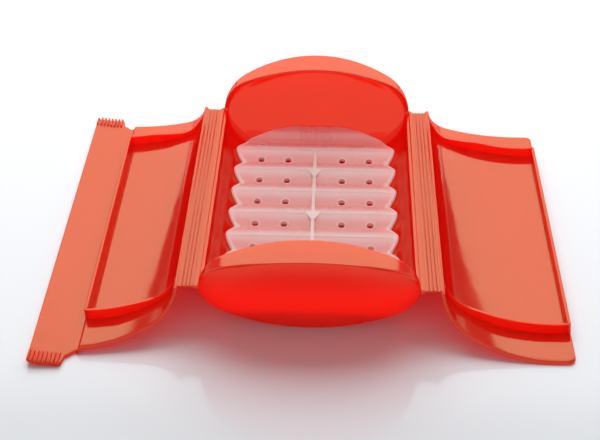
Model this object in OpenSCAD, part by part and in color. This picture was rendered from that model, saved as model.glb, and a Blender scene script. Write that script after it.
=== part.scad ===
// Steam case: a moulded trough with a hood at each end, two flap lids on ribbed
// hinge bands, and a corrugated draining tray that lifts out.
// +X runs across the case, +Y along it and +Z up. The origin is the middle of the flat base.
// The flaps are drawn first in their closed place over the hoods, and then turned open.

/* [Case section] */
// Width of the case at its widest level
case_w = 110; // [104:1:116]
// Height of the oval section before its base is cut flat
section_h = 57; // [54:0.5:60]
// Radius of the oval section at its sides
side_r = 21; // [18:0.5:23]
// Depth cut off the oval to make the flat base
base_cut = 0.6; // [0.4:0.1:1]
// Thickness of the moulded skin
skin = 2; // [1.6:0.1:2.4]

/* [Case ends] */
// Length of the hinge lines, from one end of the case to the other
hinge_len = 186; // [180:1:196]
// Lean of the end faces from upright, in degrees
end_lean = 24; // [20:1:26]
// Radius of the end faces across the case
end_r = 300; // [270:5:330]
// How far each hood rim leans in at its top
rim_inset = 2.7; // [2:0.1:3.4]

/* [Hinge bands] */
// Width of the plain land between the case wall and the first fold line
land_w = 3.2; // [3:0.1:3.6]
// Spacing of the fold lines, which is the width of one rib
fold_pitch = 1.9; // [1.8:0.1:2.4]
// Thickness of the band
band_t = 1.4; // [1.2:0.1:1.6]
// Slit between two neighbouring ribs at their fold line
fold_slit = 0.1; // [0.06:0.01:0.14]
// Slope of the groove sides over each fold line, in degrees from upright
groove_slope = 24; // [23:0.5:26]

/* [Flaps] */
// Gap between the closed flaps and the hoods under them
lid_clear = 0.4; // [0.3:0.05:0.6]
// Gap between the flap rims and the hood rims
rim_clear = 0.9; // [0.8:0.1:1.2]
// Height of the rim inside each flap
wall_h = 5.6; // [5:0.2:7]
// Thickness of the rim inside each flap
wall_t = 1.8; // [1.4:0.1:2.2]
// Distance of the closed seam from the middle, towards the left
seam_x = 9.8; // [7:0.2:12]
// Gap between the two flaps at the closed seam
seam_gap = 0.6; // [0.4:0.1:0.8]
// Radius of the outer corners of the right flap
corner_r = 4; // [2:0.5:6]
// Height of the open flaps over the table
table_gap = 0.2; // [0:0.1:0.4]

/* [Closing strip] */
// Width of the strip that overlaps the other flap
strip_w = 24; // [20:1:26]
// Length of the plain tail between the square end of the strip and the grip
tail_len = 3.7; // [3.2:0.1:6]
// Width of the grips at the strip's ends
grip_w = 17; // [14:1:18]
// Length of the ribbed part of each grip
grip_len = 8; // [6:0.5:9]
// Number of ribs on each grip
grip_ribs = 8; // [6:1:9]
// Width of one grip rib
grip_rib_w = 1; // [0.8:0.1:1.2]
// Height of one grip rib
grip_rib_h = 0.6; // [0.4:0.1:0.8]
// Radius of the rounded corners of the strip's ends
strip_round = 3; // [2:0.1:3.2]

/* [Draining tray] */
// Level of the ridge tops over the table
ridge_z = 15; // [14.4:0.2:16]
// Distance of the tray's ridged part from the ends of the hinge lines
tray_inset = 12.5; // [12:0.5:16]
// Height of the ridges over the valleys
ridge_h = 3; // [2:0.2:3.4]
// Flat width on top of each ridge
ridge_flat = 3; // [2:0.5:5]
// Thickness of the tray
tray_t = 1.5; // [1.2:0.1:1.8]
// Gap between the tray and the case
tray_clear = 0.4; // [0.3:0.05:0.6]
// Diameter of the drain holes
hole_d = 4; // [3:0.5:5]
// Distance of the inner drain holes from the middle
hole_x = 15.7; // [13:0.1:18]
// Spacing of the drain holes across the tray
hole_gap = 15.7; // [14:0.1:17]
// Distance of the drain holes from the valley line
hole_shift = 2; // [0:0.5:3]
// Width of the lengthwise spine
spine_w = 2; // [1.5:0.1:3]
// Height of the spine over the ridges
spine_h = 0.4; // [0.2:0.1:0.6]
// Width of the gussets at every second ridge
gusset_w = 8; // [6:0.5:10]
// Length of the gussets
gusset_len = 7; // [5:0.5:9]
// Rise of the aprons at the tray's ends
apron_rise = 6.7; // [5:0.1:7.5]
// Length of the aprons
apron_len = 10.5; // [9:0.5:10.5]
// Width of the aprons along their top edge
apron_top_w = 34; // [28:1:40]
// Spacing of the fine combs on the aprons
comb_pitch = 1.5; // [1.3:0.1:1.8]
// Width of one comb rib
comb_w = 0.6; // [0.4:0.1:0.8]
// Height of one comb rib
comb_h = 0.4; // [0.3:0.1:0.6]

/* [Hidden] */
$fn = 180;

// Ridges of the tray, with the middle one over the origin, and combs on each apron
ridge_count = 7;
comb_count = 15;
// Overlap of the side arcs with the broad arcs
arc_lap = 0.02;
// Larger than anything the cutting blocks have to pass
reach = 300;

// Oval section: two side arcs and two broad arcs that meet them smoothly
half_w = case_w / 2;
half_h = section_h / 2;
mid_z = half_h - base_cut;
top_z = mid_z + half_h;
broad_r = (half_w * half_w + half_h * half_h - 2 * half_w * side_r) / (2 * (half_h - side_r));
broad_z = broad_r - half_h;
join_angle = atan2(half_w - side_r, broad_z);

// End faces: they pass through the ends of the hinge lines at the widest level
hinge_y = hinge_len / 2;
end_bulge = (end_r - sqrt(end_r * end_r - half_w * half_w)) / cos(end_lean);
end_y = hinge_y + end_bulge;

// Hinge bands: four fold lines of equal angle turn a flap over by half a turn
folds = 4;
fold_x = half_w + land_w;
fold_rise = fold_pitch * (1 + sqrt(2));
turn_x = 2 * fold_x + (folds - 1) * fold_pitch;
turn_z = table_gap + top_z + lid_clear + skin;
last_fold_x = fold_x + (folds - 1) * fold_pitch;
band_z = (turn_z - fold_rise) / 2;
rim_z = band_z + band_t;
groove_w = band_t * tan(groove_slope) + fold_slit / 2;
lid_z = band_z + fold_rise;
lid_edge_z = lid_z - band_t;

// Seams of the closed flaps, each in the frame of its own flap
right_seam = seam_gap / 2 - seam_x;
left_seam = seam_gap / 2 + seam_x;
strip_x = left_seam - strip_w;
// The strip lies one skin and one gap outside the flaps, so it closes over the right one
strip_low = 2 * lid_clear + skin;
strip_high = strip_low + skin;
// Tilt at which the open strip's broad curve just touches the level of the right flap
strip_r = broad_r + strip_high;
strip_step = strip_high - lid_clear - skin;
rest_tilt = atan((fold_x - sqrt(fold_x * fold_x - 2 * strip_r * strip_step)) / strip_r);
flange_y = end_y + half_h * tan(end_lean);
corner_y = flange_y + (lid_clear + skin) * tan(end_lean);
grip_y = flange_y + tail_len;

// Tray
valley_z = ridge_z - ridge_h;
deck_y = hinge_y - tray_inset;
ridge_pitch = 2 * deck_y / ridge_count;

function rim_y(z) = hinge_y - rim_inset * (z - mid_z) / half_h;
function ridge_y(i) = (i - (ridge_count - 1) / 2) * ridge_pitch;
// Row of holes beside each valley line; the outermost rows lie one hole in from the deck's ends
function hole_y(row) =
    row == 0 ? hole_d - deck_y
    : row == ridge_count ? deck_y - hole_d
    : ridge_y(row) - ridge_pitch / 2 + hole_shift;
function deck_line(drop) = concat(
    [[-deck_y, valley_z - drop]],
    [for (i = [0 : ridge_count - 1]) each [
        [ridge_y(i) - ridge_flat / 2, ridge_z - drop],
        [ridge_y(i) + ridge_flat / 2, ridge_z - drop],
        [ridge_y(i) + ridge_pitch / 2, valley_z - drop]
    ]]
);
function backwards(list) = [for (i = [len(list) - 1 : -1 : 0]) list[i]];

// ---- Shared shapes ----

// Oval outline of the case section, grown by g.
// The side arcs stand a hair proud, so that they cross the broad arcs cleanly.
module oval(g) {
    for (side = [-1, 1])
        translate([side * (half_w - side_r - arc_lap), 0])
            circle(r = side_r + arc_lap + g);
    intersection() {
        translate([0, broad_z])
            circle(r = broad_r + g);
        translate([0, -broad_z])
            circle(r = broad_r + g);
        square([2 * (broad_r + g) * sin(join_angle), 2 * half_w], center = true);
    }
}

// Oval outline drawn out along the case
module oval_bar(g) {
    translate([0, 0, mid_z])
        rotate([90, 0, 0])
            linear_extrude(height = reach, center = true)
                oval(g);
}

// Everything between the two leaning end faces, grown by g
module between_ends(g) {
    intersection_for (far = [0, 1])
        mirror([0, far, 0])
            translate([0, -end_y, mid_z])
                rotate([end_lean, 0, 0])
                    translate([0, end_r, 0])
                        cylinder(r = end_r + g, h = reach, center = true);
}

// Solid block of the whole case, grown by g
module case_block(g) {
    intersection() {
        oval_bar(g);
        between_ends(g);
    }
}

// Moulded skin of the whole case
module case_skin() {
    difference() {
        case_block(0);
        case_block(-skin);
    }
}

// Layer of the oval from low to high, on one side of x and above z
module oval_layer(low, high, x, z) {
    intersection() {
        difference() {
            oval_bar(high);
            oval_bar(low);
        }
        translate([x, -reach / 2, z])
            cube([reach, reach, reach]);
    }
}

// Profile in Y and Z drawn out across the case
module cross_bar(width, points) {
    rotate([90, 0, 90])
        linear_extrude(height = width, center = true)
            polygon(points);
}

// Profile in X and Z drawn out along a hinge band
module band_bar(points) {
    rotate([90, 0, 0])
        linear_extrude(height = hinge_len, center = true)
            polygon(points);
}

// Block inside the hood rims, with a gap to them
module inside_rims(gap) {
    cross_bar(reach, [
        [gap - rim_y(0), 0], [rim_y(0) - gap, 0],
        [rim_y(top_z) - gap, top_z], [gap - rim_y(top_z), top_z]
    ]);
}

// Turns a flap from its closed place to its open one.
// The left flap then rests a little raised on its strip.
module opened(left) {
    mirror([left, 0, 0])
        translate([last_fold_x, 0, band_z])
            rotate([0, -left * rest_tilt, 0])
                translate([turn_x - last_fold_x, 0, turn_z - band_z])
                    rotate([0, 180, 0])
                        children();
}

// ---- Case ----

module trough() {
    color("orangered")
        intersection() {
            case_skin();
            translate([-reach / 2, -reach / 2, 0])
                cube([reach, reach, rim_z]);
        }
}

module hood(far) {
    color("tomato")
        mirror([0, far, 0])
            intersection() {
                case_skin();
                cross_bar(reach, [
                    [-reach, rim_z], [-rim_y(rim_z), rim_z],
                    [-rim_y(top_z), top_z], [-reach, top_z]
                ]);
            }
}

module case_land(left) {
    color("coral")
        mirror([left, 0, 0])
            difference() {
                band_bar([
                    [half_w - skin, band_z], [fold_x - fold_slit / 2, band_z],
                    [fold_x - groove_w, rim_z], [half_w - skin, rim_z]
                ]);
                oval_bar(0);
            }
}

// ---- Hinge ribs ----

module rib(left, number) {
    start = fold_x + (number - 1) * fold_pitch;
    color(number == 2 ? "coral" : "tomato")
        mirror([left, 0, 0])
            band_bar([
                [start + fold_slit / 2, band_z], [start + fold_pitch - fold_slit / 2, band_z],
                [start + fold_pitch - groove_w, rim_z], [start + groove_w, rim_z]
            ]);
}

// ---- Flaps ----

// Waste outside the rounded corner of a flap
module corner_waste(seam) {
    linear_extrude(height = reach)
        difference() {
            translate([seam - corner_r, corner_y - corner_r])
                square(2 * corner_r);
            translate([seam + corner_r, corner_y - corner_r])
                circle(r = corner_r);
        }
}

module flap_skin(left, seam) {
    color("orangered")
        opened(left)
            difference() {
                intersection() {
                    oval_layer(lid_clear, lid_clear + skin, seam, lid_edge_z);
                    between_ends(0);
                }
                if (left == 0)
                    for (far = [0, 1])
                        mirror([0, far, 0])
                            corner_waste(seam);
            }
}

module flap_land(left) {
    color("coral")
        opened(left)
            difference() {
                band_bar([
                    [half_w, lid_edge_z], [fold_x - groove_w, lid_edge_z],
                    [fold_x - fold_slit / 2, lid_z], [half_w, lid_z]
                ]);
                oval_bar(lid_clear + skin);
            }
}

module flap_rim(left, seam) {
    color("red")
        opened(left)
            difference() {
                intersection() {
                    oval_layer(lid_clear - wall_h, lid_clear, seam, lid_edge_z);
                    inside_rims(rim_clear);
                }
                intersection() {
                    inside_rims(rim_clear + wall_t);
                    translate([seam + wall_t, -reach / 2, 0])
                        cube([reach, reach, reach]);
                }
            }
}

// ---- Closing strip on the left flap ----

// Plan of one half of the strip, from the middle to the grip
module strip_plan() {
    step_x = strip_x + grip_w;
    difference() {
        union() {
            translate([strip_x, 0])
                square([strip_w, flange_y]);
            translate([strip_x, 0])
                square([grip_w, grip_y]);
            translate([step_x, flange_y])
                square(strip_round);
        }
        translate([step_x + strip_round, flange_y + strip_round])
            circle(r = strip_round);
    }
}

module closing_strip() {
    color("coral")
        opened(1) {
            intersection() {
                oval_layer(strip_low, strip_high, strip_x, mid_z);
                linear_extrude(height = reach)
                    union() {
                        strip_plan();
                        mirror([0, 1])
                            strip_plan();
                    }
            }
            // Root that joins the strip to the skin of the left flap
            intersection() {
                oval_layer(lid_clear + skin, strip_high, left_seam, mid_z);
                between_ends(0);
                translate([left_seam - strip_round, -reach / 2, 0])
                    cube([strip_round + skin, reach, reach]);
            }
        }
}

module grip(far) {
    rib_step = (grip_w - grip_rib_w) / (grip_ribs - 1);
    color("tomato")
        opened(1)
            mirror([0, 1 - far, 0])
                intersection() {
                    union() {
                        oval_layer(strip_low, strip_high, strip_x, mid_z);
                        intersection() {
                            oval_layer(strip_low - grip_rib_h, strip_high, strip_x, mid_z);
                            for (i = [0 : grip_ribs - 1])
                                translate([strip_x + i * rib_step, 0, 0])
                                    cube([grip_rib_w, reach, reach]);
                        }
                    }
                    translate([strip_x, grip_y, 0])
                        cube([grip_w, grip_len, reach]);
                }
}

// ---- Draining tray ----

// Block that the tray has to stay in to clear the case
module tray_space() {
    case_block(-skin - tray_clear);
}

module tray_deck() {
    color("pink")
        intersection() {
            difference() {
                cross_bar(reach, concat(deck_line(0), backwards(deck_line(tray_t))));
                for (side = [-1, 1], row = [0 : ridge_count], column = [0, 1])
                    if (column == 1 || (row > 0 && row < ridge_count))
                        translate([side * (hole_x + column * hole_gap), hole_y(row), 0])
                            cylinder(d = hole_d, h = reach);
            }
            tray_space();
        }
}

module tray_spine() {
    first = ridge_y(0);
    color("white")
        intersection() {
            cross_bar(reach, concat(
                [[first, ridge_z + spine_h]],
                [for (p = deck_line(0)) if (abs(p[0]) <= -first) p],
                [[-first, ridge_z + spine_h]]
            ));
            linear_extrude(height = reach)
                union() {
                    translate([-spine_w / 2, first])
                        square([spine_w, -2 * first]);
                    for (i = [1 : 2 : ridge_count - 2])
                        translate([0, ridge_y(i)])
                            polygon([
                                [-gusset_w / 2, 0], [-spine_w / 2, -gusset_len],
                                [spine_w / 2, -gusset_len], [gusset_w / 2, 0]
                            ]);
                }
        }
}

module apron(far) {
    edge_y = deck_y + apron_len;
    side_w = half_w - skin - tray_clear;
    color("lightpink")
        mirror([0, 1 - far, 0])
            intersection() {
                union() {
                    cross_bar(reach, [
                        [deck_y, valley_z - tray_t], [edge_y, valley_z - tray_t + apron_rise],
                        [edge_y, valley_z + apron_rise], [deck_y, valley_z]
                    ]);
                    for (i = [0 : comb_count - 1])
                        translate([(i - (comb_count - 1) / 2) * comb_pitch, 0, 0])
                            cross_bar(comb_w, [
                                [deck_y, valley_z - tray_t / 2],
                                [edge_y, valley_z - tray_t / 2 + apron_rise],
                                [edge_y, valley_z + apron_rise + comb_h],
                                [deck_y, valley_z + comb_h]
                            ]);
                }
                linear_extrude(height = reach)
                    polygon([
                        [-side_w, deck_y], [-apron_top_w / 2, edge_y],
                        [apron_top_w / 2, edge_y], [side_w, deck_y]
                    ]);
                tray_space();
            }
}

trough();
hood(0);  // near_hood
hood(1);  // far_hood
case_land(1);  // left_case_land
case_land(0);  // right_case_land
rib(1, 1);  // left_rib_1
rib(1, 2);  // left_rib_2
rib(1, 3);  // left_rib_3
rib(0, 1);  // right_rib_1
rib(0, 2);  // right_rib_2
rib(0, 3);  // right_rib_3
flap_skin(1, left_seam);  // left_flap_skin
flap_land(1);  // left_flap_land
flap_rim(1, left_seam);  // left_flap_rim
closing_strip();
grip(0);  // near_grip
grip(1);  // far_grip
flap_skin(0, right_seam);  // right_flap_skin
flap_land(0);  // right_flap_land
flap_rim(0, right_seam);  // right_flap_rim
tray_deck();
tray_spine();
apron(0);  // near_apron
apron(1);  // far_apron
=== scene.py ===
import math

import bmesh
import bpy
from mathutils import Matrix, Vector


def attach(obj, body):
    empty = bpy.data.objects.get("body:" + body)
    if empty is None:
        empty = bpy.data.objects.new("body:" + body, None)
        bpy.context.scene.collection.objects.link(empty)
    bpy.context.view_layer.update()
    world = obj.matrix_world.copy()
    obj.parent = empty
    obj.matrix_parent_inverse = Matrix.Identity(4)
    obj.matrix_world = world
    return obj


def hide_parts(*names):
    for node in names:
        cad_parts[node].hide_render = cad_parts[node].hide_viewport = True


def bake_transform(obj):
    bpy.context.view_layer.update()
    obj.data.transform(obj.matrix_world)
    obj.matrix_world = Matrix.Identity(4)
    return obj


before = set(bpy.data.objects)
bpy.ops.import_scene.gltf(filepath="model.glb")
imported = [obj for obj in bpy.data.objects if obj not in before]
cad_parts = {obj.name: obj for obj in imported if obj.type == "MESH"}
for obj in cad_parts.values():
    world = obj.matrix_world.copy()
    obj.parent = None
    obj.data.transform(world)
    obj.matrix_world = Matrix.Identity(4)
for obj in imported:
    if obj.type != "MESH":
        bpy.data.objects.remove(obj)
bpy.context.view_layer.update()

MM = 0.001

# ---- Sizes of the case, in millimetres ----
HALF_W, HALF_H, SIDE_R = 55.0, 28.5, 21.0
SKIN = 2.0
BASE_CUT = 0.6  # the flat base cuts this much off the oval
MID_Z = HALF_H - BASE_CUT
TOP_Z = MID_Z + HALF_H
BROAD_R = (HALF_W**2 + HALF_H**2 - 2 * HALF_W * SIDE_R) / (2 * (HALF_H - SIDE_R))
BROAD_Z = BROAD_R - HALF_H
JOIN = math.atan2(HALF_W - SIDE_R, BROAD_Z)
HINGE_Y, LEAN, END_R = 93.0, math.radians(24), 300.0
END_Y = HINGE_Y + (END_R - math.sqrt(END_R**2 - HALF_W**2)) / math.cos(LEAN)
RIM_INSET = 2.7
END_DOME = 1.5

# ---- Hinge bands ----
LAND_W, PITCH, BAND_T = 3.2, 1.9, 1.4
FOLD_X = HALF_W + LAND_W
LAST_FOLD_X = FOLD_X + 3 * PITCH
LID_CLEAR = 0.4
OPEN_Z = 0.2  # an open flap stays this far above the table
TURN_X = 2 * FOLD_X + 3 * PITCH
TURN_Z = OPEN_Z + TOP_Z + LID_CLEAR + SKIN
BAND_Z = (TURN_Z - PITCH * (1 + math.sqrt(2))) / 2
RIM_Z = BAND_Z + BAND_T
LID_EDGE_Z = TURN_Z - RIM_Z

# ---- Flaps and closing strip ----
WALL_H, WALL_T, RIM_GAP = 5.6, 1.8, 0.9
WALL_DRAW = 5.5  # the wall stands this much further in at the hinge
RIGHT_SEAM, LEFT_SEAM = -9.5, 10.1
CORNER_R = 4.0
STRIP_W, GRIP_W, GRIP_LEN, TAIL_LEN = 24.0, 17.0, 8.0, 3.7
STRIP_X = LEFT_SEAM - STRIP_W
STRIP_LOW = 2 * LID_CLEAR + SKIN
FLANGE_Y = END_Y + HALF_H * math.tan(LEAN)
STRIP_END = FLANGE_Y + TAIL_LEN + GRIP_LEN
STRIP_R = BROAD_R + STRIP_LOW + SKIN
TILT = math.atan(
    (FOLD_X - math.sqrt(FOLD_X**2 - 2 * STRIP_R * (STRIP_LOW - LID_CLEAR))) / STRIP_R
)

# ---- Draining tray ----
RIDGE_Z, RIDGE_H, RIDGE_FLAT, TRAY_T, TRAY_GAP = 15.0, 3.0, 3.0, 1.5, 0.4
RIDGES, TRAY_INSET = 7, 12.5
DECK_Y = HINGE_Y - TRAY_INSET
RIDGE_STEP = 2 * DECK_Y / RIDGES
VALLEY_Z = RIDGE_Z - RIDGE_H
APRON_LEN, APRON_RISE, APRON_HALF_W = 10.5, 6.7, 46.0
HOLE_D, HOLE_XS, HOLE_SHIFT = 4.0, (15.7, 31.4), 2.0
COMB_HALF_W = 10.2
MARGIN_W = 2.6


# ---- Section of the case ----

def section(turn, grow):
    """Point of the oval section, grown by grow, whose outward direction is turn radians from +X."""
    c, s = math.cos(turn), math.sin(turn)
    if abs(c) > math.sin(JOIN):
        centre_x = math.copysign(HALF_W - SIDE_R, c)
        return centre_x + (SIDE_R + grow) * c, MID_Z + (SIDE_R + grow) * s
    return (BROAD_R + grow) * c, MID_Z - math.copysign(BROAD_Z, s) + (BROAD_R + grow) * s


def end_y(x, z, grow=0.0):
    """Distance of the leaning end face from the middle."""
    sag = END_R - math.sqrt((END_R + grow) ** 2 - x * x)
    return END_Y + math.tan(LEAN) * (z - MID_Z) - sag / math.cos(LEAN)


def rim_y(z):
    """Distance of the hood's rim from the middle, at height z."""
    return HINGE_Y - RIM_INSET * (z - MID_Z) / HALF_H


SIDE_TURN = math.pi / 2 - JOIN


def length_at(turn):
    """Length along the section from its widest point to turn."""
    return SIDE_R * min(turn, SIDE_TURN) + BROAD_R * max(0.0, turn - SIDE_TURN)


def turn_at(length):
    """Turn at a length along the section from its widest point."""
    side = SIDE_R * SIDE_TURN
    return length / SIDE_R if length < side else SIDE_TURN + (length - side) / BROAD_R


def smooth(t):
    """Soft step from 0 to 1."""
    t = min(1.0, max(0.0, t))
    return t * t * (3 - 2 * t)


def rounding(d, r):
    """How far a rounded edge of radius r has drawn in at distance d from the edge."""
    d = min(max(d, 0.0), r)
    return r - math.sqrt(r * r - (r - d) ** 2)


def steps(length, pitch, r):
    """Distances along a length, close together at its two rounded edges."""
    near = [0, 0.08 * r, 0.3 * r, 0.6 * r, r, 1.8 * r]
    count = max(2, math.ceil((length - 3.6 * r) / pitch))
    middle = [1.8 * r + (length - 3.6 * r) * i / count for i in range(1, count)]
    return near + middle + [length - d for d in reversed(near)]


# ---- Making meshes ----

def piece(name, grids, caps=(), weld=2e-6):
    """Mesh from grids of points in millimetres, joined where they meet."""
    bm = bmesh.new()
    for grid in grids:
        rows = [[bm.verts.new([c * MM for c in p]) for p in row] for row in grid]
        for a, b in zip(rows, rows[1:]):
            for k in range(len(a) - 1):
                bm.faces.new((a[k], a[k + 1], b[k + 1], b[k]))
    for cap in caps:
        bm.faces.new([bm.verts.new([c * MM for c in p]) for p in cap])
    bmesh.ops.remove_doubles(bm, verts=bm.verts, dist=weld)
    bmesh.ops.dissolve_degenerate(bm, edges=bm.edges, dist=1e-7)
    bmesh.ops.recalc_face_normals(bm, faces=bm.faces)
    mesh = bpy.data.meshes.new(name)
    bm.to_mesh(mesh)
    bm.free()
    for face in mesh.polygons:
        face.use_smooth = True
    made = bpy.data.objects.new(name, mesh)
    bpy.context.scene.collection.objects.link(made)
    even = made.modifiers.new("even shading", "WEIGHTED_NORMAL")
    even.weight = 50
    even.keep_sharp = False
    return made


def finish_piece(made, body, material, nodes=()):
    """Gives a piece its finish and slot, the nodes it stands for and the body it rides on."""
    made.data.materials.append(material)
    if nodes:
        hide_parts(*nodes)
    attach(made, body)
    return made


def opened(p, left):
    """A point of a closed flap, turned to its open place."""
    x, y, z = TURN_X - p[0], p[1], TURN_Z - p[2]
    if left:
        dx, dz = x - LAST_FOLD_X, z - BAND_Z
        x = -(LAST_FOLD_X + dx * math.cos(TILT) - dz * math.sin(TILT))
        z = BAND_Z + dx * math.sin(TILT) + dz * math.cos(TILT)
    return x, y, z


# ---- Case ----

def case_shell():
    """Trough with a hood at each end, in one skin."""
    rim_turn = math.asin((RIM_Z - MID_Z) / SIDE_R)
    corners = (rim_turn, math.pi - rim_turn, 2 * math.pi + rim_turn)
    edge_r = 0.6
    dome_rings = (0, 0.2, 0.4, 0.55, 0.67, 0.77, 0.85, 0.92, 0.97)

    def radii(turn):
        """Outer and inner rounding of the end wall's edge, tighter at the mouth's corners."""
        away = min(abs(corner - turn) for corner in corners)
        ease = smooth(away * SIDE_R / 16)
        tight = 0.8
        return tight + 1.0 * ease, tight + 3.4 * ease

    def edge_y(turn):
        """Distance of the hood's rim from the middle, drawn in a little at the mouth's corners."""
        x, z = section(turn, -SKIN)
        wall = end_y(x, z, -SKIN - radii(turn)[1]) - 0.4
        rim = rim_y(z)
        soft, near = 0.8, 90
        powers = math.exp(-(wall - near) / soft) + math.exp(-(rim - near) / soft)
        return -soft * math.log(powers) + near

    def arc(start, end, pitch):
        """Turns from start to end, about pitch apart along the section."""
        count = max(1, round(abs(length_between(start, end)) / pitch))
        return [start + (end - start) * i / count for i in range(count + 1)]

    def length_between(a, b):
        wide = BROAD_R if abs(math.cos((a + b) / 2)) < math.sin(JOIN) else SIDE_R
        return wide * (b - a)

    lip = [0, 0.4, 0.9, 1.5]
    top = [rim_turn + d / SIDE_R for d in lip]
    top += arc(top[-1], SIDE_TURN, 2)[1:] + arc(SIDE_TURN, math.pi - SIDE_TURN, 2.2)[1:]
    top += arc(math.pi - SIDE_TURN, math.pi - rim_turn - lip[-1] / SIDE_R, 2)[1:]
    top += [math.pi - rim_turn - d / SIDE_R for d in reversed(lip[:-1])]
    edge = [0, 0.05, 0.18, 0.36, 0.6, 1.2]
    low = [math.pi - rim_turn + d / SIDE_R for d in edge]
    low += arc(low[-1], math.pi + SIDE_TURN, 2)[1:]
    low += arc(math.pi + SIDE_TURN, 2 * math.pi - SIDE_TURN, 2.2)[1:]
    low += arc(2 * math.pi - SIDE_TURN, 2 * math.pi + rim_turn - edge[-1] / SIDE_R, 2)[1:]
    low += [2 * math.pi + rim_turn - d / SIDE_R for d in reversed(edge[:-1])]

    def cup_column(turn, inner, side):
        """Points from the middle of an end face, over its edge, to the hood's rim."""
        base, r = (-SKIN, radii(turn)[1]) if inner else (0.0, radii(turn)[0])
        upper = rim_turn < turn < math.pi - rim_turn
        beside = min(turn - rim_turn, math.pi - rim_turn - turn) * SIDE_R
        fade = smooth(beside / 1.5) if upper else 0.0
        points = []

        def put(x, y, z):
            points.append((x, side * y, z if inner else max(z, 0.0)))

        x1, z1 = section(turn, base - r)
        for f in dome_rings:
            x, z = f * x1, MID_Z + f * (z1 - MID_Z)
            put(x, end_y(x, z, base) + END_DOME * (1 - f**5), z)
        for k in range(11):
            a = math.pi / 2 * (1 - k / 10)
            x, z = section(turn, base - r + r * math.cos(a))
            put(x, end_y(x, z, base - r + r * math.sin(a)), z)
        x, z = section(turn, base)
        rim = edge_y(turn)
        x_in, z_in = section(turn, -SKIN)
        room = end_y(x_in, z_in, -SKIN - radii(turn)[1]) - rim
        size = min(1.0, 0.8 * room / edge[-1])
        start, stop = end_y(x, z, base - r), rim + edge[-1] * size
        for k in range(1, 8):
            put(x, start + (stop - start) * k / 8, z)
        for d in reversed(edge):
            draw = rounding(d, edge_r) * fade * size
            x, z = section(turn, base + draw if inner else base - draw)
            put(x, rim + d * size, z)
        return points

    def trough_column(turn, inner):
        """Points along the trough, from one hood's rim to the other's."""
        beside = min(turn - (math.pi - rim_turn), 2 * math.pi + rim_turn - turn) * SIDE_R
        half = edge_y(turn)
        ends = [0, 0.5, 1.0, 1.6, 3.0]
        count = 80
        ys = [half - d for d in ends]
        ys += [(half - 3.0) * (1 - 2 * k / count) for k in range(1, count)]
        ys += [d - half for d in reversed(ends)]
        points = []
        for y in ys:
            draw = rounding(beside, edge_r) * smooth((half - abs(y)) / 1.6) if inner else 0.0
            x, z = section(turn, draw - SKIN if inner else 0.0)
            points.append((x, y, z if inner else max(z, 0.0)))
        return points

    grids, whole = [], top + low[1:]
    for side in (-1, 1):
        outer = [cup_column(t, False, side) for t in whole]
        inner = [cup_column(t, True, side) for t in whole]
        grids += [outer, inner, [[o[-1], i[-1]] for o, i in zip(outer[:len(top)], inner)]]
    outer = [trough_column(t, False) for t in low]
    inner = [trough_column(t, True) for t in low]
    grids += [outer, inner]
    for k in (0, -1):
        grids.append([[o, i] for o, i in zip(outer[k], inner[k])])
    return piece("case_shell", grids)


def scallop(x):
    """How far the end of the hinge band is drawn in at x."""
    depth, edge_w = 1.8, 1.9
    across = (abs(x) - HALF_W) / (LAST_FOLD_X + edge_w - HALF_W)
    hollow = depth * math.sin(math.pi * min(1.0, max(0.0, across))) ** 0.7
    return hollow - 0.35 * math.exp(-(((across - 0.5) / 0.12) ** 2))


def bar(name, profile, half, place=lambda p: p):
    """Bar along Y from a closed profile in X and Z, its ends a little rounded."""
    cx = sum(p[0] for p in profile) / len(profile)
    cz = sum(p[1] for p in profile) / len(profile)
    rows, loop = [], profile + profile[:1]
    count = 48
    end_r = 0.2
    ys = [-half, -half + 0.05, -half + end_r]
    ys += [(half - end_r) * (2 * k / count - 1) for k in range(1, count)]
    ys += [half - end_r, half - 0.05, half]
    for y in ys:
        draw = 1 - 0.12 * rounding(half - abs(y), end_r) / end_r
        row = []
        for x, z in loop:
            along = y * (1 - scallop(x) / half)
            row.append(place((cx + (x - cx) * draw, along, cz + (z - cz) * draw)))
        rows.append(row)
    return piece(name, [rows], caps=[rows[0][:-1], rows[-1][:-1]])


# One side of the groove between two ribs: distance from the fold line, and height.
GROOVE = [(0.03, 0.0), (0.22, 0.45), (0.39, 0.85), (0.53, 1.14), (0.7, 1.33), (0.9, BAND_T)]


def rib_profile(start):
    """Outline of the rib between the fold line at start and the next, with a crowned top."""
    edge, crown_h = GROOVE[-1][0], 0.32
    crown = [
        (start + edge + (PITCH - 2 * edge) * t, BAND_Z + BAND_T + crown_h * t * (1 - t))
        for t in (0.2, 0.4, 0.6, 0.8)
    ]
    near = [(start + a, BAND_Z + b) for a, b in GROOVE]
    far = [(start + PITCH - a, BAND_Z + b) for a, b in reversed(GROOVE)]
    return near + crown + far


def fold_web(name, fold, place):
    """Soft skin in the groove over one fold line."""
    half_hollow = [(0.72, 1.34), (0.55, 1.27), (0.3, 1.175)]
    hollow = [(-a, b) for a, b in half_hollow] + [(0.0, 1.13)] + half_hollow[::-1]
    under = [(0.3, 0.75), (0.1, 0.3), (0.0, 0.1), (-0.1, 0.3), (-0.3, 0.75)]
    outline = [(fold + a, BAND_Z + b) for a, b in hollow + under]
    return bar(name, outline, HINGE_Y - 0.05, place)


def case_land_profile():
    """Outline of the land beside the trough, with a bead along its top."""
    bead = [(57.1, 0.04), (56.6, 0.2), (56.1, 0.41), (55.6, 0.52)]
    bead += [(55.2, 0.46), (54.9, 0.24), (54.7, 0.0)]
    return (
        [(54.7, BAND_Z), (FOLD_X - 0.02, BAND_Z)]
        + [(FOLD_X - a, BAND_Z + b) for a, b in GROOVE[1:]]
        + [(x, RIM_Z + b) for x, b in bead]
    )


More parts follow.
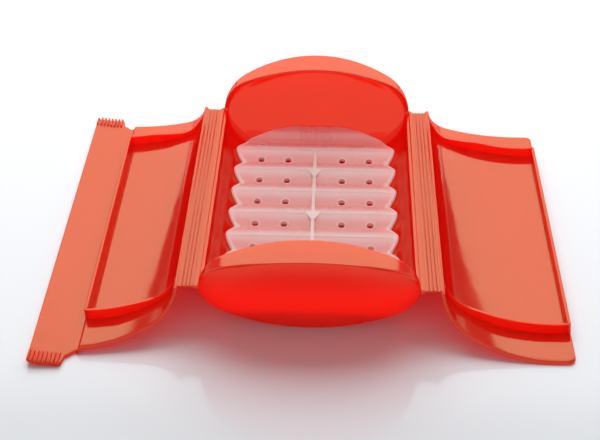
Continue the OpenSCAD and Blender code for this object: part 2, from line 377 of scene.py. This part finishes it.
def flap_land_profile():
    """Outline of the flap's hinge edge, in the frame of the open right flap."""
    last = LAST_FOLD_X
    crest = [(1.05, 0.06), (1.3, 0.22), (1.55, 0.42), (1.78, 0.52), (1.96, 0.38), (2.05, 0.1)]
    return (
        [(last + a, BAND_Z + b) for a, b in GROOVE]
        + [(last + a, RIM_Z + b) for a, b in crest]
        + [(last + 1.8, BAND_Z)]
    )


# ---- Flaps ----

def flap_turns(seam, grow):
    """Turns of the flap's hinge edge and of a line at x = seam."""
    start = math.asin((LID_EDGE_Z - MID_Z) / (SIDE_R + grow))
    return start, math.pi / 2 - math.asin(seam / (BROAD_R + grow))


def strip_plan(x):
    """Half length of the closing strip at x, with its soft step and rounded grip."""
    tail_rise, rib_tip = 4.2, 0.9
    rise = tail_rise * smooth((9.2 - x) / 5.4)
    grip = (STRIP_END - rib_tip - FLANGE_Y - tail_rise) * smooth((4.2 - x) / 1.8)
    corner = rounding(x - STRIP_X, 3.0)
    return FLANGE_Y + rise + grip - corner


def joggle(x, left):
    """How far the left flap's skin steps out at x, to lie over the right flap."""
    return smooth((LEFT_SEAM + 1.0 - x) / 1.5) * (STRIP_LOW - LID_CLEAR) if left else 0.0


def flap_sheet(name, left):
    """Skin of one flap. The left one runs on, through a joggle, into the closing strip."""
    seam = LEFT_SEAM if left else RIGHT_SEAM
    edge_r, mid = 0.55, LID_CLEAR + SKIN / 2
    start = flap_turns(seam, mid)[0]
    last_x = STRIP_X if left else seam
    last_r = BROAD_R + (STRIP_LOW + SKIN / 2 if left else mid)
    stop = math.pi / 2 - math.asin(last_x / last_r)
    first, full = length_at(start), length_at(stop) - length_at(start)
    marks = set(steps(full, 2.2, edge_r))
    if left:
        marks |= {full - d for d in (0.3, 0.9, 1.5, 2.2, 3)}
        # closer rows where the strip's end steps out to the grip
        here = full - (3.1 - STRIP_X) * BROAD_R / (BROAD_R + 4)
        marks |= {here + d * 0.35 for d in range(-30, 8)}
    else:
        marks |= {full - d for d in (0.3, 0.7, 1.2, 1.8, 2.4, 3.2, 4)}
    marks = sorted(m for m in marks if 0 <= m <= full)
    marks = [m for k, m in enumerate(marks) if k == 0 or m - marks[k - 1] > 0.03]
    if marks[-1] != full:
        marks[-1] = full
    inner, outer = [], []
    edge_steps = (0, 0.04, 0.17, 0.33, 0.55, 1.0)
    row_t = [(-1, d) for d in edge_steps]
    row_t += [(2 * k / 90 - 1, 1.0) for k in range(1, 90)]
    row_t += [(1, d) for d in reversed(edge_steps)]
    for m in marks:
        turn = turn_at(first + m)
        x_here = section(turn, mid)[0]
        shift = joggle(x_here, left)
        beside = min(m, full - m)
        columns = []
        for side in (0, 1):
            grow = LID_CLEAR + shift + side * SKIN
            column = []
            for t, d in row_t:
                draw = max(rounding(beside, edge_r), rounding(d, edge_r))
                x, z = section(turn, grow + (draw if side == 0 else -draw))
                half = end_y(x, z)
                if left:
                    blend = smooth((LEFT_SEAM - x_here) / 2.0)
                    half = half * (1 - blend) + strip_plan(x_here) * blend
                else:
                    half -= rounding(x_here - seam, CORNER_R)
                column.append(opened((x, t * (half - d), z), left))
            columns.append(column)
        inner.append(columns[0])
        outer.append(columns[1])
    grids = [inner, outer]
    for k in (0, -1):
        grids.append([[a, b] for a, b in zip(inner[k], outer[k])])
        grids.append([[a[k], b[k]] for a, b in zip(inner, outer)])
    return piece(name, grids)


def flap_rim(name, left):
    """Low wall round three sides of a flap, with rounded edges and a soft foot."""
    seam = LEFT_SEAM if left else RIGHT_SEAM
    start, stop = flap_turns(seam, LID_CLEAR)
    first, last = length_at(start) + 0.5, length_at(stop)
    turn_r = 1.3

    def half(length):
        drawn_in = WALL_DRAW * (1 - smooth((length - first - 8) / 36))
        return rim_y(section(turn_at(length), LID_CLEAR)[1]) - RIM_GAP - drawn_in

    path = []
    run = last - turn_r - first
    count = 44
    for k in range(count):
        a = first + run * k / count
        path.append((a, -half(a), 0.0, -1.0))
    corner = half(last) - turn_r
    for k in range(7):
        a = math.pi / 2 * (k / 6 - 1)
        c, s = math.cos(a), math.sin(a)
        path.append((last - turn_r + turn_r * c, -corner + turn_r * s, c, s))
    for k in range(1, 80):
        path.append((last, corner * (2 * k / 80 - 1), 1.0, 0.0))
    path += [(a, -y, na, -ny) for a, y, na, ny in reversed(path[:count + 7])]

    r, top, wide = 0.5, WALL_H, WALL_T
    foot = [(0.0, -0.2), (0.0, 0.0), (0.0, 0.65)]
    bends = (0, 0.4, 0.8, 1.2, math.pi / 2)
    crown = [(r * (1 - math.cos(a)), top - r + r * math.sin(a)) for a in bends]
    profile = foot + crown
    profile += [(wide - w, h) for w, h in reversed(profile)]
    rows = []
    for a, y, na, ny in path:
        ease = 0.05 + 0.25 * smooth((a - first) / 7) + 0.7 * smooth((a - first - 5) / 38)
        row = []
        for w, h in profile:
            turn = turn_at(max(0.02, min(a - na * w, last)))
            if h <= 0:
                rise = h - joggle(section(turn, LID_CLEAR)[0], left)
            else:
                rise = h * ease
            x, z = section(turn, LID_CLEAR - rise)
            row.append(opened((x, y - ny * w, z), left))
        rows.append(row + row[:1])
    return piece(name, [rows], caps=[rows[0][:-1], rows[-1][:-1]])


def grip_ribs(name, far):
    """Fine ribs across the thumb grip at one end of the strip."""
    count, width = 8, 1.05
    half_shape = [(0.66, 0.4), (0.64, -0.4), (0.5, -0.9), (0.2, -1.2)]
    shape = [(-a, b) for a, b in half_shape] + half_shape[::-1]
    side = 1 if far else -1
    start = STRIP_END - GRIP_LEN - 0.6
    grids, caps = [], []
    for k in range(count):
        x0 = STRIP_X + 0.75 + k * (GRIP_W - 1.9 - width / 2) / (count - 1)
        end = strip_plan(x0) + 0.88
        stations = [(start, 0.2), (start + 0.15, 0.6), (start + 0.45, 0.9), (start + 0.9, 1)]
        stations += [(end - 0.9, 1), (end - 0.45, 0.95), (end - 0.15, 0.75), (end, 0.45)]
        rows = []
        for y, size in stations:
            row = []
            for dx, dg in shape + shape[:1]:
                lift = dg * size if dg < 0 else dg
                across = x0 + dx * (0.6 + 0.4 * size)
                turn = math.pi / 2 - math.asin(across / (BROAD_R + STRIP_LOW))
                x, z = section(turn, STRIP_LOW + lift)
                row.append(opened((x, side * y, z), True))
            rows.append(row)
        grids.append(rows)
        caps += [rows[0][:-1], rows[-1][:-1]]
    return piece(name, grids, caps)


# ---- Draining tray ----

def from_ridge(y):
    """Distance from the nearest ridge line."""
    return abs((y / RIDGE_STEP + 0.5) % 1.0 - 0.5) * RIDGE_STEP


def pleat_z(y):
    """Level of the tray's top along Y, with soft ridges and rising aprons."""
    def sharp(v):
        a = abs(v)
        if a > DECK_Y:
            return VALLEY_Z + (a - DECK_Y) * APRON_RISE / APRON_LEN
        off = from_ridge(v)
        slope = RIDGE_STEP / 2 - RIDGE_FLAT / 2
        return RIDGE_Z - RIDGE_H * min(1.0, max(0.0, off - RIDGE_FLAT / 2) / slope)

    return sum(sharp(y + d) for d in (-0.6, -0.3, 0, 0.3, 0.6)) / 5


def tray_half(y, z):
    """Half width of the tray, which follows the case wall and draws in along the aprons."""
    grow = -SKIN - TRAY_GAP
    drop = MID_Z - z
    side = SIDE_R + grow
    half = HALF_W - SIDE_R + math.sqrt(max(0.0, side * side - drop * drop))
    past = (abs(y) - DECK_Y) / APRON_LEN
    if past > 0:
        round_off = 5.0 * (max(0.0, past - 0.7) / 0.3) ** 3
        half = min(half, APRON_HALF_W - 26.5 * past - round_off)
    return half


def tray_sheet():
    """Pleated sheet with a bead along its margin, creases by the ridges and combed aprons."""
    end = DECK_Y + APRON_LEN - 0.1
    edge_r = 0.55
    crease_at = (0.95, 1.15, 1.35, 1.55, 1.75)
    lines = []
    for k in range(RIDGES):
        ridge = (k - RIDGES / 2 + 0.5) * RIDGE_STEP
        lines += [ridge + side * d for side in (-1, 1) for d in crease_at]
    ys = [y - end for y in steps(2 * end, 0.9, 0.5)]
    ys = sorted([y for y in ys if min(abs(y - v) for v in lines) > 0.3] + lines)
    near = [0, 0.06, 0.2, 0.4, 0.7, 1.1, 1.6, 2.2, 3.0, 4.0]
    comb = [COMB_HALF_W * k / 60 for k in range(61)]
    top, under = [], []
    for y in ys:
        z0 = pleat_z(y)
        spread = (-2.4, -1.2, 0, 1.2, 2.4)
        half = sum(tray_half(y + d, pleat_z(y + d) - TRAY_T / 2) for d in spread) / 5
        half = min(half, tray_half(y, z0 - TRAY_T / 2) + 0.1)
        inner = half - near[-1]
        xs = [half - d for d in near]
        xs += [inner + (COMB_HALF_W - inner) * k / 14 for k in range(1, 14)]
        xs += list(reversed(comb))
        xs += [-x for x in reversed(xs[:-1])]
        upper, lower = [], []
        to_end = end - abs(y)
        past = smooth((abs(y) - DECK_Y - 0.4) / 1.2)
        off = from_ridge(y)
        ridge_line = 0.3 * math.exp(-(((off - 1.35) / 0.34) ** 2)) if abs(y) < DECK_Y else 0.0
        for x in xs:
            d = half - abs(x)
            draw = max(rounding(d, edge_r), rounding(to_end, edge_r))
            bead = 0.28 * math.exp(-((d - 1.0) / 0.7) ** 2)
            bead = bead + 0.25 * math.exp(-((to_end - 0.9) / 0.6) ** 2)
            teeth = 0.2 * (1 + math.cos(2 * math.pi * x / 1.5)) * past
            teeth = teeth * smooth((10.1 - abs(x)) / 0.6) * smooth(to_end / 1.2)
            crease = ridge_line * smooth((d - 3.2) / 1.2)
            upper.append((x, y, z0 + bead + teeth + crease - draw))
            lower.append((x, y, z0 - TRAY_T + draw))
        top.append(upper)
        under.append(lower)
    grids = [top, under]
    for k in (0, -1):
        grids.append([[a, b] for a, b in zip(top[k], under[k])])
        grids.append([[a[k], b[k]] for a, b in zip(top, under)])
    return piece("tray_sheet", grids)


def hole_places():
    """Middles of the drain holes: four along each valley and two before each apron."""
    for row in range(RIDGES + 1):
        if row == 0:
            y = HOLE_D - DECK_Y
        elif row == RIDGES:
            y = DECK_Y - HOLE_D
        else:
            y = (row - RIDGES / 2) * RIDGE_STEP + HOLE_SHIFT
        for x in HOLE_XS:
            if x == HOLE_XS[1] or 0 < row < RIDGES:
                yield -x, y
                yield x, y


def drill(tray):
    """Cuts the drain holes through the tray."""
    bm = bmesh.new()
    radius, depth, middle_z = HOLE_D / 2 * MM, 0.02, 0.013
    for x, y in hole_places():
        place = Matrix.Translation((x * MM, y * MM, middle_z))
        bmesh.ops.create_cone(
            bm,
            cap_ends=True,
            segments=28,
            radius1=radius,
            radius2=radius,
            depth=depth,
            matrix=place,
        )
    mesh = bpy.data.meshes.new("drills")
    bm.to_mesh(mesh)
    bm.free()
    drills = bpy.data.objects.new("drills", mesh)
    bpy.context.scene.collection.objects.link(drills)
    cut = tray.modifiers.new("drain holes", "BOOLEAN")
    cut.object = drills
    cut.operation = "DIFFERENCE"
    cut.solver = "EXACT"
    tray.modifiers.move(len(tray.modifiers) - 1, 0)
    graph = bpy.context.evaluated_depsgraph_get()
    even = tray.modifiers["even shading"]
    even.show_viewport = False
    graph.update()
    done = bpy.data.meshes.new_from_object(tray.evaluated_get(graph))
    tray.modifiers.remove(cut)
    even.show_viewport = True
    tray.data = done
    bpy.data.objects.remove(drills)


def hole_rims():
    """Raised rims of the drain holes."""
    grids = []
    for x0, y0 in hole_places():
        rows = []
        for k in range(29):
            a = 2 * math.pi * k / 28
            row = []
            for j in range(9):
                b = 2 * math.pi * j / 8
                r = HOLE_D / 2 + 0.35 + 0.42 * math.cos(b)
                x, y = x0 + r * math.cos(a), y0 + r * math.sin(a)
                row.append((x, y, pleat_z(y) + 0.05 + 0.34 * math.sin(b)))
            rows.append(row)
        grids.append(rows)
    return piece("tray_hole_rims", grids)


def tray_spine():
    """Spine along the tray, with a wedge at every second ridge."""
    half = 3 * RIDGE_STEP
    top = RIDGE_Z + 0.25
    rows = []
    ys = [-half, -half + 0.2, -half + 0.6]
    ys += [half * (2 * k / 90 - 1) for k in range(1, 90)]
    ys += [half - 0.6, half - 0.2, half]
    foot = -9.0  # far enough down to stand for the spine's underside
    half_shape = [(1.3, foot), (1.2, -0.9), (1.0, -0.3), (0.7, -0.04), (0.3, -0.12)]
    shape = [(-a, b) for a, b in half_shape] + [(0, -0.2)] + half_shape[::-1]
    for y in ys:
        low = pleat_z(y) - 0.8
        draw = rounding(half - abs(y), 0.6)
        row = []
        for x, dz in shape + shape[:1]:
            row.append((x, y, low - 0.3 if dz == foot else max(low, top + dz - draw)))
        rows.append(row)
    grids, caps = [rows], [rows[0][:-1], rows[-1][:-1]]
    for k in (-2, 0, 2):
        y0 = k * RIDGE_STEP
        layers = []
        for inset, dz in ((0.0, -3.4), (0.0, -0.35), (0.15, -0.1), (0.5, 0.0)):
            wide, narrow, tip = 4.0 - inset, 1.0 - inset * 0.5, y0 - 7.0 + inset
            back = y0 + 0.6 - inset
            half_plan = [(wide, back), (wide, back - 1.0), (narrow + 1.0, tip + 1.6), (narrow, tip)]
            outline = [(-a, b) for a, b in half_plan] + half_plan[::-1]
            loop = outline + outline[:1]
            layers.append([(x, y, max(pleat_z(y) - 0.8, top + dz)) for x, y in loop])
        grids.append(layers)
        caps += [layers[0][:-1], layers[-1][:-1]]
    return piece("tray_spine_ribs", grids, caps)


# ---- Finishes ----

def node_group(name, inputs, outputs):
    """Shader node group with named values in and masks out."""
    group = bpy.data.node_groups.new(name, "ShaderNodeTree")
    for label, value in inputs:
        socket = group.interface.new_socket(
            label, in_out="INPUT", socket_type="NodeSocketFloat"
        )
        socket.default_value = value
    for label in outputs:
        group.interface.new_socket(label, in_out="OUTPUT", socket_type="NodeSocketFloat")
    return group, group.nodes.new("NodeGroupInput"), group.nodes.new("NodeGroupOutput")


def link(tree, a, b):
    """Joins socket a to socket b."""
    tree.links.new(a, b)


def moulded_surface():
    """Cloudy colour, satin patches and mould grain of cast silicone."""
    group, inside, out = node_group(
        "moulded surface",
        [("Cloud Scale", 18.0), ("Grain Scale", 900.0), ("Wave Scale", 30.0)],
        ["Cloud", "Patches", "Grain", "Waves"],
    )
    place = group.nodes.new("ShaderNodeTexCoord")
    noises = (
        ("Cloud", "Cloud Scale", 3.0),
        ("Patches", "Cloud Scale", 6.0),
        ("Grain", "Grain Scale", 2.0),
        ("Waves", "Wave Scale", 1.0),
    )
    for label, source, detail in noises:
        noise = group.nodes.new("ShaderNodeTexNoise")
        noise.inputs["Detail"].default_value = detail
        link(group, place.outputs["Object"], noise.inputs["Vector"])
        if label == "Patches":
            more = group.nodes.new("ShaderNodeMath")
            more.operation = "MULTIPLY"
            more.inputs[1].default_value = 4.3
            link(group, inside.outputs[source], more.inputs[0])
            link(group, more.outputs[0], noise.inputs["Scale"])
        else:
            link(group, inside.outputs[source], noise.inputs["Scale"])
        link(group, noise.outputs["Fac"], out.inputs[label])
    return group


def painted_ridge_light():
    """Painted light: a slightly cloudy mask, a painted highlight that rises from the painted shade
    of the tray's valleys to its ridges and fades above.
    """
    group, inside, out = node_group(
        "painted ridge light",
        [("Lowest", 0.0), ("Highest", 0.01), ("Cloud", 0.5)],
        ["Pale"],
    )
    place = group.nodes.new("ShaderNodeTexCoord")
    split = group.nodes.new("ShaderNodeSeparateXYZ")
    link(group, place.outputs["Object"], split.inputs["Vector"])
    rise = group.nodes.new("ShaderNodeMapRange")
    rise.interpolation_type = "SMOOTHSTEP"
    link(group, split.outputs["Z"], rise.inputs["Value"])
    link(group, inside.outputs["Lowest"], rise.inputs["From Min"])
    link(group, inside.outputs["Highest"], rise.inputs["From Max"])
    fall = group.nodes.new("ShaderNodeMapRange")
    fall.interpolation_type = "SMOOTHSTEP"
    fall.inputs["From Min"].default_value = 0.0157
    fall.inputs["From Max"].default_value = 0.0168
    fall.inputs["To Min"].default_value = 1.0
    fall.inputs["To Max"].default_value = 0.0
    link(group, split.outputs["Z"], fall.inputs["Value"])
    both = group.nodes.new("ShaderNodeMath")
    both.operation = "MULTIPLY"
    link(group, rise.outputs["Result"], both.inputs[0])
    link(group, fall.outputs["Result"], both.inputs[1])
    cloudy = group.nodes.new("ShaderNodeMath")
    cloudy.operation = "MULTIPLY_ADD"
    cloudy.inputs[1].default_value = 0.3
    link(group, inside.outputs["Cloud"], cloudy.inputs[0])
    lower = group.nodes.new("ShaderNodeMath")
    lower.operation = "SUBTRACT"
    lower.inputs[1].default_value = 0.15
    link(group, both.outputs[0], lower.inputs[0])
    link(group, lower.outputs[0], cloudy.inputs[2])
    cloudy.use_clamp = True
    link(group, cloudy.outputs[0], out.inputs["Pale"])
    return group


def silicone(
    name, light, deep, rough, grain, wave, glow, through, share, ior,
    alpha=1.0, specular=0.5, sheen=(1.0, 1.0, 1.0), ridge_light_levels=None,
):
    """Moulded silicone: a satin skin, mixed by share with what lets light through."""
    material = bpy.data.materials.new(name)
    material.use_nodes = True
    tree = material.node_tree
    shader = tree.nodes["Principled BSDF"]
    surface = tree.nodes.new("ShaderNodeGroup")
    surface.node_tree = bpy.data.node_groups["moulded surface"]
    colour = tree.nodes.new("ShaderNodeMix")
    colour.data_type = "RGBA"
    colour.inputs["A"].default_value = (*deep, 1)
    colour.inputs["B"].default_value = (*light, 1)
    # Colour by height paints light here: a painted highlight on the ridges and painted shade in the
    # valleys.
    if ridge_light_levels:
        height = tree.nodes.new("ShaderNodeGroup")
        height.node_tree = bpy.data.node_groups["painted ridge light"]
        height.inputs["Lowest"].default_value, height.inputs["Highest"].default_value = ridge_light_levels
        link(tree, surface.outputs["Cloud"], height.inputs["Cloud"])
        link(tree, height.outputs["Pale"], colour.inputs["Factor"])
    else:
        link(tree, surface.outputs["Cloud"], colour.inputs["Factor"])
    link(tree, colour.outputs["Result"], shader.inputs["Base Color"])
    satin = tree.nodes.new("ShaderNodeMapRange")
    satin.inputs["From Min"].default_value = 0.3
    satin.inputs["From Max"].default_value = 0.7
    satin.inputs["To Min"].default_value = rough - 0.03
    satin.inputs["To Max"].default_value = rough + 0.04
    link(tree, surface.outputs["Patches"], satin.inputs["Value"])
    link(tree, satin.outputs["Result"], shader.inputs["Roughness"])
    waves = tree.nodes.new("ShaderNodeBump")
    waves.inputs["Strength"].default_value = 1.0
    waves.inputs["Distance"].default_value = wave
    link(tree, surface.outputs["Waves"], waves.inputs["Height"])
    fine = tree.nodes.new("ShaderNodeBump")
    fine.inputs["Strength"].default_value = 1.0
    fine.inputs["Distance"].default_value = grain
    link(tree, surface.outputs["Grain"], fine.inputs["Height"])
    link(tree, waves.outputs["Normal"], fine.inputs["Normal"])
    link(tree, fine.outputs["Normal"], shader.inputs["Normal"])
    shader.inputs["Subsurface Weight"].default_value = glow
    shader.inputs["Subsurface Radius"].default_value = (1.0, 0.04, 0.03)
    shader.inputs["Subsurface Scale"].default_value = 0.0015
    shader.inputs["IOR"].default_value = ior
    shader.inputs["Specular IOR Level"].default_value = specular
    shader.inputs["Specular Tint"].default_value = (*sheen, 1)
    shader.inputs["Alpha"].default_value = alpha
    lit = tree.nodes.new("ShaderNodeBsdfTranslucent")
    lit.inputs["Color"].default_value = (*through, 1)
    both = tree.nodes.new("ShaderNodeMixShader")
    both.inputs["Fac"].default_value = share
    link(tree, shader.outputs["BSDF"], both.inputs[1])
    link(tree, lit.outputs["BSDF"], both.inputs[2])
    link(tree, both.outputs["Shader"], tree.nodes["Material Output"].inputs["Surface"])
    return material


moulded_surface()
painted_ridge_light()
red = silicone(
    "red silicone",
    light=(0.95, 0.036, 0.02),
    deep=(0.93, 0.023, 0.013),
    rough=0.09,
    grain=0.000003,
    wave=0.0002,
    glow=0.3,
    through=(1.0, 0.055, 0.04),
    share=0.74,
    ior=2.2,
    specular=1.0,
    sheen=(0.93, 1.0, 0.55),
)
# The milky tray's near-white and deep pink are mixed by height: painted highlight on the ridges,
# painted shade in the valleys.
milky = silicone(
    "milky silicone",
    light=(1.0, 0.98, 0.95),
    deep=(1.0, 0.52, 0.49),
    rough=0.28,
    grain=0.00001,
    wave=0.0002,
    glow=0.0,
    through=(1.0, 0.82, 0.80),
    share=0.45,
    ior=1.6,
    alpha=0.7,
    ridge_light_levels=(0.0128, 0.0151),
)
margin = silicone(
    "milky margin",
    light=(1.0, 0.97, 0.94),
    deep=(1.0, 0.88, 0.85),
    rough=0.28,
    grain=0.00001,
    wave=0.0002,
    glow=0.0,
    through=(1.0, 0.85, 0.82),
    share=0.45,
    ior=1.6,
    alpha=0.72,
)

# ---- Pieces ----

def finish_case(made, body, *nodes):
    """Finishes a piece of the red case."""
    finish_piece(made, body, red, nodes)


finish_case(case_shell(), "case", "trough", "near_hood", "far_hood")
for left in (False, True):
    side = "left" if left else "right"
    flip = (lambda p: (-p[0], p[1], p[2])) if left else (lambda p: p)

    def tilted(p, left=left):
        return opened((TURN_X - p[0], p[1], TURN_Z - p[2]), left)

    land = bar(side + "_hinge_land", case_land_profile(), HINGE_Y, flip)
    finish_case(land, "case", side + "_case_land")
    for number in (1, 2, 3):
        profile = rib_profile(FOLD_X + (number - 1) * PITCH)
        rib = bar(f"{side}_hinge_rib_{number}", profile, HINGE_Y, flip)
        finish_case(rib, f"{side}_rib_{number}_body", f"{side}_rib_{number}")
    flap_edge = bar(side + "_flap_edge", flap_land_profile(), HINGE_Y, tilted)
    finish_case(flap_edge, side + "_flap", side + "_flap_land")
    for number in range(4):
        fold = FOLD_X + number * PITCH
        web = fold_web(f"{side}_fold_web_{number + 1}", fold, flip)
        web.data.materials.append(red)
        ends = [Vector(flip((fold + d, 0, BAND_Z + 1))) * MM for d in (-0.5, 0.5)]
        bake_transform(web)
    finish_case(flap_rim(side + "_flap_wall", left), side + "_flap", side + "_flap_rim")
finish_case(flap_sheet("right_flap_sheet", False), "right_flap", "right_flap_skin")
finish_case(
    flap_sheet("left_flap_sheet", True), "left_flap", "left_flap_skin", "closing_strip"
)
finish_case(grip_ribs("near_grip_ribs", False), "left_flap", "near_grip")
finish_case(grip_ribs("far_grip_ribs", True), "left_flap", "far_grip")

tray = tray_sheet()
drill(tray)
finish_piece(tray, "tray", milky, ("tray_deck", "near_apron", "far_apron"))
tray.data.materials.append(margin)
for face in tray.data.polygons:
    x, y, z = (c / MM for c in face.center)
    if tray_half(y, pleat_z(y) - TRAY_T / 2) - abs(x) < MARGIN_W:
        face.material_index = 1
finish_piece(hole_rims(), "tray", margin)
finish_piece(tray_spine(), "tray", margin, ("tray_spine",))

# ---- Table, light and camera ----

def table():
    """White glass top under the case."""
    bm = bmesh.new()
    bmesh.ops.create_grid(bm, x_segments=8, y_segments=8, size=3.0)
    mesh = bpy.data.meshes.new("table")
    bm.to_mesh(mesh)
    bm.free()
    made = bpy.data.objects.new("table", mesh)
    made.location.z = -0.0001
    bpy.context.scene.collection.objects.link(made)
    material = bpy.data.materials.new("white glass table")
    material.use_nodes = True
    shader = material.node_tree.nodes["Principled BSDF"]
    shader.inputs["Base Color"].default_value = (0.74, 0.76, 0.785, 1)
    shader.inputs["Roughness"].default_value = 0.12
    shader.inputs["Specular IOR Level"].default_value = 0.5
    mesh.materials.append(material)


def soft_box(name, place, target, size, power):
    """Rectangular lamp aimed at target, its size in metres and its power in watts."""
    data = bpy.data.lights.new(name, "AREA")
    data.shape = "RECTANGLE"
    data.size, data.size_y = size
    data.energy = power
    lamp = bpy.data.objects.new(name, data)
    lamp.location = place
    lamp.rotation_euler = (Vector(target) - Vector(place)).to_track_quat("-Z", "Y").to_euler()
    bpy.context.scene.collection.objects.link(lamp)


def camera():
    """Camera set by its place, its pitch, yaw and roll, and its focal length in sensor widths."""
    place = Vector((10.17, -684.27, 447.95)) * MM
    pitch, yaw, roll = math.radians(32.634), math.radians(-1.446), math.radians(0.401)
    focal, sensor = 1471.8 / 600, 36.0
    level = math.cos(pitch)
    ahead = Vector((math.sin(yaw) * level, math.cos(yaw) * level, -math.sin(pitch)))
    right = Vector((math.cos(yaw), -math.sin(yaw), 0))
    up = right.cross(ahead)
    across = right * math.cos(roll) + up * math.sin(roll)
    over = up * math.cos(roll) - right * math.sin(roll)
    data = bpy.data.cameras.new("camera")
    data.sensor_width = sensor
    data.lens = focal * sensor
    data.clip_start = 0.05
    made = bpy.data.objects.new("camera", data)
    turn = Matrix((across, over, -ahead)).transposed()
    made.matrix_world = Matrix.Translation(place) @ turn.to_4x4()
    bpy.context.scene.collection.objects.link(made)
    bpy.context.scene.camera = made


table()
soft_box("back soft box", (-0.02, 1.8, 0.83), (-0.02, 0, 0.83), (2.32, 1.56), 25.5)
soft_box("top soft box", (0.0, 0.5, 1.3), (0, 0, 0), (1.6, 1.0), 16.6)
soft_box("front soft box", (0.0, -0.75, 1.25), (0, 0, 0), (1.2, 1.2), 0.7)
soft_box("low soft box", (0.0, -1.6, 0.5), (0, 0, 0.05), (2.6, 1.0), 3.4)
for side in (-1, 1):
    soft_box("side card", (side * 1.95, 1.45, 0.8), (0, 0, 0.3), (1.4, 1.5), 4.4)
world = bpy.data.worlds.new("studio")
world.use_nodes = True
world.node_tree.nodes["Background"].inputs["Color"].default_value = (0.95, 0.97, 1.0, 1)
world.node_tree.nodes["Background"].inputs["Strength"].default_value = 0.24
bpy.context.scene.world = world
camera()
bpy.context.scene.view_settings.view_transform = "Standard"
